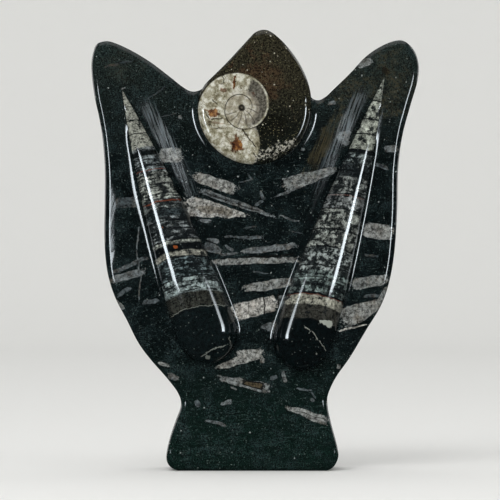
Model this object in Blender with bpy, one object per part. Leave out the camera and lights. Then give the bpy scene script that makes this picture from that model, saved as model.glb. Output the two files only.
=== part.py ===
"""A winged slab of polished orthoceras limestone on a flared foot.

Two large orthocones and a teardrop of goniatite stone are set in its front.
Metres, +Z up. The front faces -Y, and the origin is under the middle of the foot.
Points of the front view are (x, z) in millimetres.
"""

import math

import bmesh
import bpy
from mathutils import Vector
from mathutils.geometry import interpolate_bezier

MM = 0.001

# The slab, seen from the front.
FOOT_AND_LEFT_SIDE = [
    (-43.5, 0.0), (-48.6, 2.9), (-50.2, 8.2), (-48.4, 17.9), (-45.0, 28.2), (-42.1, 36.7),
    (-43.8, 43.6), (-50.1, 52.1), (-59.8, 63.2), (-66.6, 72.6), (-72.9, 85.1), (-78.9, 96.5),
    (-82.9, 107.9), (-84.9, 119.3), (-85.7, 133.5), (-85.5, 150.6), (-85.4, 170.6),
    (-86.6, 187.7), (-88.6, 200.2), (-91.1, 211.6), (-92.8, 224.7), (-92.8, 233.2),
]
LEFT_WING_TIP = [(-90.6, 241.2), (-86.6, 243.5), (-81.4, 243.3)]
LEFT_WING_TO_PEAK = [
    (-71.2, 238.9), (-59.8, 232.1), (-48.4, 223.5), (-41.6, 218.1), (-36.4, 215.3),
    (-31.4, 215.9), (-26.4, 219.6), (-18.8, 227.0),
]
PEAK = [(-8.5, 237.2), (-0.6, 245.0), (4.6, 247.5), (9.6, 245.6), (17.8, 237.3)]
PEAK_TO_RIGHT_WING = [
    (25.3, 226.5), (29.2, 217.0), (32.0, 211.8), (35.9, 210.2), (40.2, 212.2), (45.6, 217.3),
    (54.1, 225.5), (62.6, 234.6), (71.2, 240.6),
]
RIGHT_WING_TIP = [(79.7, 244.0), (85.4, 243.5), (90.6, 238.3), (93.1, 230.4)]
RIGHT_SIDE_AND_FOOT = [
    (92.3, 220.7), (88.0, 205.9), (83.7, 189.4), (81.4, 170.6), (80.9, 147.8), (79.4, 125.0),
    (76.6, 107.9), (71.8, 93.7), (63.2, 79.4), (54.1, 64.1), (46.1, 52.7), (41.6, 43.0),
    (41.3, 36.5), (43.0, 27.6), (46.4, 14.5), (47.2, 8.0), (44.8, 2.6), (40.4, 0.0),
]
FOOT_CORNER = 6 * MM
STEPS_PER_SPAN = 3

# The slab, seen from the side.
SLAB_MIDDLE_Y = 2 * MM
SLAB_THICK = 28 * MM
FOOT_DEPTH = 46 * MM
FOOT_FLARE = [(0.0, 1.0), (9.0, 1.0), (16.0, 0.82), (23.0, 0.55), (31.0, 0.25), (42.0, 0.0)]
RIM = 3.2 * MM
RIM_SEGMENTS = 3
FRONT_Y = SLAB_MIDDLE_Y - SLAB_THICK / 2

# The set pieces.
GAP = 0.3 * MM
SOCKET_DEPTH = 6 * MM
THROUGH = 30 * MM
RELIEF_OF_CONE = 13 * MM
FULLNESS = 1.6
LEFT_CONE = {"tip": (-75.7, 216.4), "lean": 19.3, "length": 164.0, "radius": 17.3, "blunt": 19.0}
RIGHT_CONE = {"tip": (73.6, 223.4), "lean": -17.3, "length": 174.0, "radius": 16.9, "blunt": 19.0}
CONE_RINGS = 22
CONE_STEPS = 18

# The scoops ground into the slab beside the orthocones.
LEFT_SCOOP = {"tip": (-73.0, 225.8), "lean": 16.4, "length": 176.0, "radius": 19.8, "blunt": 21.0}
RIGHT_SCOOP = {"tip": (70.0, 233.0), "lean": -15.9, "length": 186.0, "radius": 19.2, "blunt": 21.0}
SCOOP_FULLNESS = 0.36
SCOOP_DEPTH = 3.6 * MM

# The teardrop: round below, with sides that run up to a rounded tip.
DROP_CENTRE = (-0.3, 205.7)
DROP_RADIUS = 32.2
DROP_ARC_ENDS = (-185, 5)
DROP_ARC_STEPS = 40
DROP_LEFT_SIDE = [(-31.4, 213.2), (-28.4, 219.0), (-23.9, 223.6), (-16.5, 230.9), (-9.7, 238.2)]
DROP_TIP = [(-2.9, 245.6), (0.1, 248.5), (4.2, 250.0), (8.4, 249.2)]
DROP_RIGHT_SIDE = [(14.2, 244.8), (19.9, 238.5), (25.5, 230.3), (29.5, 221.9), (31.6, 213.8)]
DROP_RELIEF = 5.5 * MM
DROP_RIM = 5.0 * MM
MOAT_WIDTH = 4.5 * MM
MOAT_DEPTH = 2.5 * MM


def clear_scene():
    for obj in list(bpy.data.objects):
        bpy.data.objects.remove(obj, do_unlink=True)


def material(name, colour, roughness):
    made = bpy.data.materials.new(name)
    made.use_nodes = True
    shader = made.node_tree.nodes["Principled BSDF"]
    shader.inputs["Base Color"].default_value = (*colour, 1)
    shader.inputs["Roughness"].default_value = roughness
    made.diffuse_color = (*colour, 1)
    return made


def add_object(name, bm, surface=None):
    """Makes the bmesh a smooth-shaded object whose faces point out."""
    bmesh.ops.recalc_face_normals(bm, faces=bm.faces)
    mesh = bpy.data.meshes.new(name)
    bm.to_mesh(mesh)
    bm.free()
    mesh.shade_smooth()
    mesh.set_sharp_from_angle(angle=math.radians(35))
    obj = bpy.data.objects.new(name, mesh)
    bpy.context.scene.collection.objects.link(obj)
    if surface:
        mesh.materials.append(surface)
    return obj


def cut(obj, cutter):
    cutter.hide_render = True
    cutter.display_type = "WIRE"
    boolean = obj.modifiers.new(cutter.name, "BOOLEAN")
    boolean.operation = "DIFFERENCE"
    boolean.solver = "EXACT"
    boolean.object = cutter


def smooth_run(knots, steps):
    """A smooth curve from the second knot to the last but one; the outer two only steer its ends."""
    curve = []
    for before, start, end, after in zip(knots, knots[1:], knots[2:], knots[3:]):
        leave = start + (end - before) / 6
        arrive = end - (after - start) / 6
        curve += interpolate_bezier(start, leave, arrive, end, steps + 1)[:-1]
    return curve + [knots[-2]]


def in_front_view(points):
    return [Vector((x * MM, 0, z * MM)) for x, z in points]


def slab_outline():
    """Round the slab from one corner of the foot to the other, along the flat bottom at both."""
    knots = in_front_view(
        FOOT_AND_LEFT_SIDE + LEFT_WING_TIP + LEFT_WING_TO_PEAK + PEAK + PEAK_TO_RIGHT_WING
        + RIGHT_WING_TIP + RIGHT_SIDE_AND_FOOT
    )
    along_bottom = Vector((FOOT_CORNER, 0, 0))
    return smooth_run([knots[0] + along_bottom, *knots, knots[-1] - along_bottom], STEPS_PER_SPAN)


def prism(outline, front, back):
    """The outline, which lies in the XZ plane, as a solid from y = front to y = back."""
    bm = bmesh.new()
    face = bm.faces.new([bm.verts.new((p.x, front, p.z)) for p in outline])
    made = bmesh.ops.extrude_face_region(bm, geom=[face])
    moved = [v for v in made["geom"] if isinstance(v, bmesh.types.BMVert)]
    bmesh.ops.translate(bm, verts=moved, vec=(0, back - front, 0))
    return bm


def round_rim(bm, at_y, radius, segments):
    rim = [e for e in bm.edges if all(abs(v.co.y - at_y) < 1e-6 for v in e.verts)]
    bmesh.ops.bevel(
        bm, geom=rim, offset=radius, offset_type="OFFSET", segments=segments,
        profile=0.5, affect="EDGES", clamp_overlap=False, material=-1,
    )


def flare_of(z):
    """How much of the foot's extra depth stands at a height, from 1 in the foot to 0 in the body."""
    for (low, share), (high, next_share) in zip(FOOT_FLARE, FOOT_FLARE[1:]):
        if z <= high * MM:
            return share + (next_share - share) * (z / MM - low) / (high - low)
    return 0.0


def slab():
    bm = prism(slab_outline(), -SLAB_THICK / 2, SLAB_THICK / 2)
    for side in (-SLAB_THICK / 2, SLAB_THICK / 2):
        round_rim(bm, side, RIM, RIM_SEGMENTS)
    for level, _share in FOOT_FLARE[1:]:
        everything = bm.verts[:] + bm.edges[:] + bm.faces[:]
        bmesh.ops.bisect_plane(bm, geom=everything, plane_co=(0, 0, level * MM), plane_no=(0, 0, 1))
    for vert in bm.verts:
        extra = (FOOT_DEPTH - SLAB_THICK) / 2 * flare_of(vert.co.z)
        vert.co.y += math.copysign(extra, vert.co.y) + SLAB_MIDDLE_Y
    return add_object("fossil_slab", bm, material("black_orthoceras_limestone", (0.012, 0.018, 0.018), 0.12))


def girth(along, size, fullness):
    """The half-width of a cone, or of its scoop, at a distance from its tip, in millimetres."""
    straight = size["length"] - size["blunt"]
    t = min(along / straight, 1.0)
    wide = size["radius"] * (1 - (1 - t) ** fullness if fullness > 1 else t ** fullness)
    past = max(along - straight, 0.0) / size["blunt"]
    return wide * math.sqrt(max(1 - past * past, 0.0))


def cone_profile(size, fullness, growth):
    """Points from the tip down the outer side to the middle of the blunt end."""
    points = []
    for ring in range(CONE_RINGS + 1):
        turn = math.pi * ring / CONE_RINGS
        along = size["length"] * (1 - math.cos(turn)) / 2
        stretched = along + growth * (2 * along / size["length"] - 1)
        wide = girth(along, size, fullness)
        points.append((wide + growth if wide > 0.01 else 0.0, -stretched))
    points[-1] = (0.0, points[-1][1])
    return points


def spun(size, fullness, angle, growth=0.0):
    bm = bmesh.new()
    ring = [bm.verts.new((x * MM, 0, z * MM)) for x, z in cone_profile(size, fullness, growth)]
    edges = [bm.edges.new(pair) for pair in zip(ring, ring[1:])]
    bmesh.ops.spin(
        bm, geom=ring + edges, cent=(0, 0, 0), axis=(0, 0, -1), angle=angle,
        steps=CONE_STEPS, use_merge=angle > 6,
    )
    bmesh.ops.remove_doubles(bm, verts=bm.verts, dist=1e-6)
    return bm


def place(obj, size, y):
    x, z = size["tip"]
    obj.location = (x * MM, y, z * MM)
    obj.rotation_euler = (0, -math.radians(size["lean"]), 0)
    return obj


def orthocone(name, size, surface=None, growth=0.0):
    """A cone with an arched front and straight walls, which run back into its socket."""
    bm = spun(size, FULLNESS, math.pi, growth)
    bmesh.ops.scale(bm, verts=bm.verts, vec=(1, RELIEF_OF_CONE / (size["radius"] * MM), 1))
    rim = [e for e in bm.edges if e.is_boundary]
    walls = bmesh.ops.extrude_edge_only(bm, edges=rim)["geom"]
    moved = [v for v in walls if isinstance(v, bmesh.types.BMVert)]
    bmesh.ops.translate(bm, verts=moved, vec=(0, SOCKET_DEPTH + growth * MM, 0))
    back = [e for e in bm.edges if e.is_boundary]
    bmesh.ops.contextual_create(bm, geom=back)
    return place(add_object(name, bm, surface), size, FRONT_Y)


def scoop(name, size):
    bm = spun(size, SCOOP_FULLNESS, 2 * math.pi)
    bmesh.ops.scale(bm, verts=bm.verts, vec=(1, SCOOP_DEPTH / (size["radius"] * MM), 1))
    return place(add_object(name, bm), size, FRONT_Y)


def drop_outline(growth=0.0):
    """The teardrop from the front, grown outwards by a distance."""
    middle_x, middle_z = DROP_CENTRE
    start, end = DROP_ARC_ENDS
    arc = []
    for i in range(DROP_ARC_STEPS + 1):
        turn = math.radians(end + (start - end) * i / DROP_ARC_STEPS)
        arc.append((middle_x + DROP_RADIUS * math.cos(turn), middle_z + DROP_RADIUS * math.sin(turn)))
    round_part = in_front_view(arc)
    sides = in_front_view(DROP_LEFT_SIDE + DROP_TIP + DROP_RIGHT_SIDE)
    knots = [*round_part[-2:], *sides, *round_part[:2]]
    curve = round_part + smooth_run(knots, STEPS_PER_SPAN)[1:-1]
    grown = []
    for i, point in enumerate(curve):
        along = curve[(i + 1) % len(curve)] - curve[i - 1]
        outwards = Vector((-along.z, 0, along.x)).normalized()
        grown.append(point + outwards * growth)
    return grown


def teardrop(surface):
    front = FRONT_Y - DROP_RELIEF
    bm = prism(drop_outline(), front, FRONT_Y + SOCKET_DEPTH)
    round_rim(bm, front, DROP_RIM, 5)
    return add_object("goniatite_teardrop", bm, surface)


def drop_socket():
    bottom = FRONT_Y + SOCKET_DEPTH + GAP
    return add_object("drop_socket", prism(drop_outline(GAP), FRONT_Y - THROUGH, bottom))


def drop_moat():
    """A sloping ditch round the teardrop, from the slab's face down to the socket's wall."""
    narrow, wide = drop_outline(GAP), drop_outline(MOAT_WIDTH)
    bm = bmesh.new()
    rings = []
    for outline, y in ((wide, FRONT_Y - THROUGH), (wide, FRONT_Y), (narrow, FRONT_Y + MOAT_DEPTH)):
        loop = [bm.verts.new((p.x, y, p.z)) for p in outline]
        rings.append([bm.edges.new((loop[i - 1], loop[i])) for i in range(len(loop))])
    bmesh.ops.bridge_loops(bm, edges=rings[0] + rings[1])
    bmesh.ops.bridge_loops(bm, edges=rings[1] + rings[2])
    bmesh.ops.contextual_create(bm, geom=rings[0])
    bmesh.ops.contextual_create(bm, geom=rings[2])
    return add_object("drop_moat", bm)


def build():
    clear_scene()
    plate = slab()
    shell = material("grey_calcite_orthocone", (0.30, 0.28, 0.25), 0.12)
    brown_stone = material("brown_goniatite_stone", (0.06, 0.045, 0.035), 0.12)
    for side, size, ground in (("left", LEFT_CONE, LEFT_SCOOP), ("right", RIGHT_CONE, RIGHT_SCOOP)):
        orthocone(side + "_orthoceras", size, shell)
        cut(plate, scoop(side + "_scoop", ground))
        cut(plate, orthocone(side + "_socket", size, growth=GAP / MM))
    teardrop(brown_stone)
    cut(plate, drop_moat())
    cut(plate, drop_socket())


build()
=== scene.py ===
import math
from functools import partial

import bmesh
import bpy
from mathutils import Matrix, Vector
from mathutils.geometry import interpolate_bezier
from mathutils.kdtree import KDTree


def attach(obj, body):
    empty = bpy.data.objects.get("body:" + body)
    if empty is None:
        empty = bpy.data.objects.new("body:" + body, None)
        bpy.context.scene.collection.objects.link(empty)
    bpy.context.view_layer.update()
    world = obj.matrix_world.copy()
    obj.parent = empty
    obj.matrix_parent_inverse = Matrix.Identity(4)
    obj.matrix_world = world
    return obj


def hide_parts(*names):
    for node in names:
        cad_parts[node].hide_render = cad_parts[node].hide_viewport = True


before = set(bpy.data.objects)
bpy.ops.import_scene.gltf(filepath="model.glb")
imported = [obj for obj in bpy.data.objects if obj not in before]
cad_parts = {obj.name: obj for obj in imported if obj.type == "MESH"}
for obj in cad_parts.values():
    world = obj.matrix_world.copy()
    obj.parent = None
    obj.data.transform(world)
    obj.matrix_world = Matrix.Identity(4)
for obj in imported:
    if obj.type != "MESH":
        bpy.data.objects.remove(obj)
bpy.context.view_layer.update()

# Shapes are worked out in millimetres and made metres at the end. Front view points are (x, z).
metres = 0.001
sharpFrom = math.radians(40)     # edges that bend more than this stay crisp


def paint(hexValue):
    channels = [int(hexValue[i:i + 2], 16) / 255 for i in (1, 3, 5)]
    return (*[c / 12.92 if c <= 0.04045 else ((c + 0.055) / 1.055) ** 2.4 for c in channels], 1)


def addNode(tree, kind, feeds=(), operation=None, stops=None, **settings):
    # a feed is a value, a hex colour, a socket, or a node that is read at its first output
    node = tree.nodes.new("ShaderNode" + kind)
    if operation:
        node.operation = operation
    for name, value in settings.items():
        setattr(node, name, value)
    for socket, value in feeds.items() if isinstance(feeds, dict) else enumerate(feeds):
        if isinstance(value, str):
            value = paint(value)
        if isinstance(value, bpy.types.Node):
            value = value.outputs[0]
        if isinstance(value, bpy.types.NodeSocket):
            tree.links.new(value, node.inputs[socket])
        else:
            node.inputs[socket].default_value = value
    if stops:
        stops = [(place, paint(tone) if isinstance(tone, str) else tone) for place, tone in stops]
        ends = node.color_ramp.elements
        ends[0].position, ends[0].color = stops[0]
        ends[1].position, ends[1].color = stops[-1]
        for place, colour in stops[1:-1]:
            ends.new(place).color = colour
    return node


def smoothRun(knots, steps):
    # a smooth curve from the second knot to the last but one; the outer two only steer its ends
    curve = []
    for before, start, end, after in zip(knots, knots[1:], knots[2:], knots[3:]):
        leave = start + (end - before) / 6
        arrive = end - (after - start) / 6
        curve += interpolate_bezier(start, leave, arrive, end, steps + 1)[:-1]
    return curve + [knots[-2]]


def frontPoints(pairs):
    return [Vector((x, 0, z)) for x, z in pairs]


def prism(outline, front, back):
    bm = bmesh.new()
    face = bm.faces.new([bm.verts.new((p.x, front, p.z)) for p in outline])
    made = bmesh.ops.extrude_face_region(bm, geom=[face])
    moved = [v for v in made["geom"] if isinstance(v, bmesh.types.BMVert)]
    bmesh.ops.translate(bm, verts=moved, vec=(0, back - front, 0))
    bmesh.ops.recalc_face_normals(bm, faces=bm.faces)
    return bm


def roundRim(bm, level, radius, segments):
    rim = [e for e in bm.edges if all(abs(v.co.y - level) < 1e-4 for v in e.verts)]
    bmesh.ops.bevel(
        bm, geom=rim, offset=radius, offset_type="OFFSET", segments=segments,
        profile=0.5, affect="EDGES", clamp_overlap=False, material=-1,
    )


def meshObject(name, bm):
    mesh = bpy.data.meshes.new(name)
    bm.to_mesh(mesh)
    bm.free()
    obj = bpy.data.objects.new(name, mesh)
    bpy.context.scene.collection.objects.link(obj)
    return obj


def withCorners(faces):
    return [*{e for f in faces for e in f.edges}, *{v for f in faces for v in f.verts}, *faces]


def cutToGrid(bm, faces, step):
    # crosses the faces with planes one step apart, first across X and then across Z
    for axis in (0, 2):
        waiting = {}

        def sortIn(face):
            low = min(v.co[axis] for v in face.verts)
            high = max(v.co[axis] for v in face.verts)
            level = math.floor(low / step + 1e-4) + 1
            if level * step < high - 1e-3:
                waiting.setdefault(level, set()).add(face)
                return True
            return False

        done = {face for face in faces if not sortIn(face)}
        while waiting:
            level = min(waiting)
            crossed = waiting.pop(level)
            normal = Vector((axis == 0, 0, axis == 2))
            cut = bmesh.ops.bisect_plane(
                bm, geom=withCorners(crossed), dist=1e-5, plane_co=normal * level * step, plane_no=normal,
            )
            for piece in cut["geom"]:
                if isinstance(piece, bmesh.types.BMFace) and not sortIn(piece):
                    done.add(piece)
        faces = done
    return [face for face in faces if face.is_valid]


def finishPiece(obj, node, material):
    # to metres, smooth, and in the place of its CAD node
    mesh = obj.data
    mesh.transform(Matrix.Scale(metres, 4))
    mesh.materials.clear()
    mesh.materials.append(material)
    mesh.shade_smooth()
    mesh.set_sharp_from_angle(angle=sharpFrom)
    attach(obj, "root")
    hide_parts(node)
    print(obj.name, len(mesh.polygons), "faces")


class Outline:
    # finds how far a point of the front view is from a closed outline, and where along it
    def __init__(self, points, notes=None):
        self.points = points
        self.notes = notes
        self.tree = KDTree(len(points))
        for i, point in enumerate(points):
            self.tree.insert(point, i)
        self.tree.balance()

    def nearest(self, x, z):
        spot = Vector((x, 0, z))
        _co, i, _far = self.tree.find(spot)
        best = None
        for j in (i - 1, i):
            start, end = self.points[j], self.points[(j + 1) % len(self.points)]
            along = end - start
            share = min(max((spot - start).dot(along) / along.length_squared, 0), 1)
            far = (start + along * share - spot).length
            if best is None or far < best[0]:
                best = (far, j, share)
        far, j, share = best
        if not self.notes:
            return far, None
        first, second = self.notes[j], self.notes[(j + 1) % len(self.notes)]
        return far, first + (second - first) * share


def climb(far, profile):
    # height above the face at a distance from the wall; the profile lists (distance, slope) outwards
    height = 0
    for (start, slope), (end, nextSlope) in zip(profile, profile[1:]):
        if far < end:
            share = max(far - start, 0) / (end - start)
            here = slope + (nextSlope - slope) * share
            height += (here + nextSlope) / 2 * (end - max(far, start))
    return height


def blendProfiles(first, second, share):
    return [tuple(a + (b - a) * share for a, b in zip(p, q)) for p, q in zip(first, second)]


def easeShare(value, low, high):
    t = min(max((value - low) / (high - low), 0), 1)
    return t * t * (3 - 2 * t)


# The two orthocones that are set in. Lean is from upright, in degrees.
cones = {
    "left": {"tip": (-75.7, 216.4), "lean": 19.3, "length": 164, "radius": 17.3, "flatTip": (8, 44)},
    "right": {"tip": (73.6, 223.4), "lean": -17.3, "length": 174, "radius": 16.9, "flatTip": (14, 51)},
}
coneForm = {
    "fullness": 1.6, "relief": 13, "blunt": 19, "setIn": 6, "gap": 0.12,
    "rings": 90, "steps": 56, "socketRings": 70, "edgeRings": 400,
    "tipRelief": 0.1,     # the tip is ground flatter
}
faceY = -12
cutterFrom = -60     # where the cutters of the sockets begin, well in front of the slab


def girth(along, size):
    straight = size["length"] - coneForm["blunt"]
    t = min(along / straight, 1)
    past = max(along - straight, 0) / coneForm["blunt"]
    return size["radius"] * (1 - (1 - t) ** coneForm["fullness"]) * math.sqrt(max(1 - past * past, 0))


def coneAxes(size):
    lean = math.radians(size["lean"])
    down = Vector((math.sin(lean), 0, -math.cos(lean)))
    across = Vector((math.cos(lean), 0, math.sin(lean)))
    return down, across


def coneProfile(size, rings, growth):
    # (half-width, distance along) from the tip to the middle of the blunt end
    points = []
    for ring in range(rings + 1):
        along = size["length"] * (1 - math.cos(math.pi * ring / rings)) / 2
        stretched = along + growth * (2 * along / size["length"] - 1)
        wide = girth(along, size)
        points.append((wide + growth if 0 < ring < rings else 0, stretched))
    return points


def footprint(size, growth, rings):
    # round the cone's foot: down its right side and up its left, with the distance along as each note
    tip = Vector((size["tip"][0], 0, size["tip"][1]))
    down, across = coneAxes(size)
    half = coneProfile(size, rings, growth)
    around = half + [(-wide, along) for wide, along in half[-2:0:-1]]
    return [tip + down * along + across * wide for wide, along in around], [along for _wide, along in around]


def buildCone(name, size):
    bm = bmesh.new()
    profile = coneProfile(size, coneForm["rings"], 0)
    ring = [bm.verts.new((wide, 0, -along)) for wide, along in profile]
    edges = [bm.edges.new(pair) for pair in zip(ring, ring[1:])]
    bmesh.ops.spin(
        bm, geom=ring + edges, cent=(0, 0, 0), axis=(0, 0, -1), angle=math.pi,
        steps=coneForm["steps"], use_merge=False,
    )
    bmesh.ops.remove_doubles(bm, verts=bm.verts, dist=1e-3)
    bmesh.ops.scale(bm, verts=bm.verts, vec=(1, coneForm["relief"] / size["radius"], 1))
    for vert in bm.verts:
        flatTo, fullFrom = size["flatTip"]
        grown = (-vert.co.z - flatTo) / (fullFrom - flatTo)
        full = 1 - (1 - min(max(grown, 0), 1)) ** 2
        crest = coneForm["relief"] * girth(-vert.co.z, size) / size["radius"]
        if crest > 0.01:
            arch = min(abs(vert.co.y) / crest, 1) ** (2 - full)
            arch *= crest * (coneForm["tipRelief"] + (1 - coneForm["tipRelief"]) * full)
            vert.co.y = math.copysign(arch, vert.co.y)
    rim = [e for e in bm.edges if e.is_boundary]
    walls = bmesh.ops.extrude_edge_only(bm, edges=rim)["geom"]
    moved = [v for v in walls if isinstance(v, bmesh.types.BMVert)]
    bmesh.ops.translate(bm, verts=moved, vec=(0, coneForm["setIn"], 0))
    bmesh.ops.contextual_create(bm, geom=[e for e in bm.edges if e.is_boundary])
    bmesh.ops.recalc_face_normals(bm, faces=bm.faces)
    lean = Matrix.Rotation(-math.radians(size["lean"]), 3, "Y")
    bmesh.ops.rotate(bm, verts=bm.verts, cent=(0, 0, 0), matrix=lean)
    bmesh.ops.translate(bm, verts=bm.verts, vec=(size["tip"][0], faceY, size["tip"][1]))
    return meshObject(name, bm)


dropForm = {
    "centre": (-0.3, 205.7), "radius": 32.2, "arcEnds": (-185, 5), "arcSteps": 96, "spanSteps": 10,
    "leftSide": [(-31.4, 213.2), (-28.4, 219), (-23.9, 223.6), (-16.5, 230.9), (-9.7, 238.2)],
    "tip": [(-2.9, 245.6), (0.1, 248.5), (4.2, 250), (8.4, 249.2)],
    "rightSide": [(14.2, 244.8), (19.9, 238.5), (25.5, 230.3), (29.5, 221.9), (31.6, 213.8)],
    "relief": 5.5, "rim": 5, "rimSegments": 12, "setIn": 6, "gap": 0.12,
    "dome": 0.5, "domeReach": 22, "grid": 2.5,
    "moat": [(0, 1.1), (1, 0.72), (2.8, 0.46), (4.3, 0), (6, -0.15), (10.5, -0.15), (12.5, 0)],
}


def dropOutline(growth=0):
    (middleX, middleZ), radius = dropForm["centre"], dropForm["radius"]
    start, end = dropForm["arcEnds"]
    arc = []
    for i in range(dropForm["arcSteps"] + 1):
        turn = math.radians(end + (start - end) * i / dropForm["arcSteps"])
        x, z = middleX + radius * math.cos(turn), middleZ + radius * math.sin(turn)
        arc.append((x, z))
    roundPart = frontPoints(arc)
    sides = frontPoints(dropForm["leftSide"] + dropForm["tip"] + dropForm["rightSide"])
    knots = [*roundPart[-2:], *sides, *roundPart[:2]]
    curve = roundPart + smoothRun(knots, dropForm["spanSteps"])[1:-1]
    grown = []
    for i, point in enumerate(curve):
        along = curve[(i + 1) % len(curve)] - curve[i - 1]
        grown.append(point + Vector((-along.z, 0, along.x)).normalized() * growth)
    return grown


def buildDrop():
    front = faceY - dropForm["relief"]
    bm = prism(dropOutline(), front, faceY + dropForm["setIn"])
    roundRim(bm, front, dropForm["rim"], dropForm["rimSegments"])
    face = [f for f in bm.faces if f.calc_center_median().y < front + 0.01]
    flat = cutToGrid(bm, face, dropForm["grid"])
    edge = Outline(dropOutline())
    reach, dome = dropForm["domeReach"], dropForm["dome"]
    for vert in {v for f in flat for v in f.verts}:
        inside = edge.nearest(vert.co.x, vert.co.z)[0] - dropForm["rim"]
        vert.co.y -= dome * (1 - (1 - min(max(inside, 0) / reach, 1)) ** 2)
    return meshObject("goniatiteTeardrop", bm)


slabForm = {
    "leftSide": [
        (-43.5, 0), (-48.6, 2.9), (-50.2, 8.2), (-48.4, 17.9), (-45, 28.2), (-42.1, 36.7),
        (-43.8, 43.6), (-50.1, 52.1), (-59.8, 63.2), (-66.6, 72.6), (-72.9, 85.1), (-78.9, 96.5),
        (-82.9, 107.9), (-84.9, 119.3), (-85.7, 133.5), (-85.5, 150.6), (-85.4, 170.6),
        (-86.6, 187.7), (-88.6, 200.2), (-91.1, 211.6), (-92.8, 224.7), (-92.8, 233.2),
    ],
    "leftWing": [
        (-90.6, 241.2), (-86.6, 243.5), (-81.4, 243.3), (-71.2, 238.9), (-59.8, 232.1), (-48.4, 223.5),
        (-41.6, 218.1), (-36.4, 215.3), (-31.4, 215.9), (-26.4, 219.6), (-18.8, 227),
    ],
    "peak": [(-8.5, 237.2), (-0.6, 245), (4.6, 247.5), (9.6, 245.6), (17.8, 237.3)],
    "rightWing": [
        (25.3, 226.5), (29.2, 217), (32, 211.8), (35.9, 210.2), (40.2, 212.2), (45.6, 217.3),
        (54.1, 225.5), (62.6, 234.6), (71.2, 240.6), (79.7, 244), (85.4, 243.5), (90.6, 238.3),
        (93.1, 230.4),
    ],
    "rightSide": [
        (92.3, 220.7), (88, 205.9), (83.7, 189.4), (81.4, 170.6), (80.9, 147.8), (79.4, 125),
        (76.6, 107.9), (71.8, 93.7), (63.2, 79.4), (54.1, 64.1), (46.1, 52.7), (41.6, 43),
        (41.3, 36.5), (43, 27.6), (46.4, 14.5), (47.2, 8), (44.8, 2.6), (40.4, 0),
    ],
    "footCorner": 6, "spanSteps": 6, "middleY": 2, "thick": 28, "footDepth": 46,
    "flare": (6, 42),     # the foot thickens between these heights
    "flareStep": 1.5, "rim": 3.2, "rimSegments": 8,
    "edgeDrop": 1.2, "edgeBand": 10,     # the face falls away softly towards its rim
    "plainFoot": (10, 45),     # but not on the foot below these heights
    # ground into its left edge
    "leftFacet": {"from": (108, 124), "to": (156, 176), "slope": 0.24, "wide": 7.5},
    "frontFrom": -8.5, "backFrom": 12.5, "wallWithin": 0.5,     # where front, back and side wall begin
    "grid": 2, "nearCones": (15, 7),     # the mesh is twice as fine within each of these
}

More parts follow.
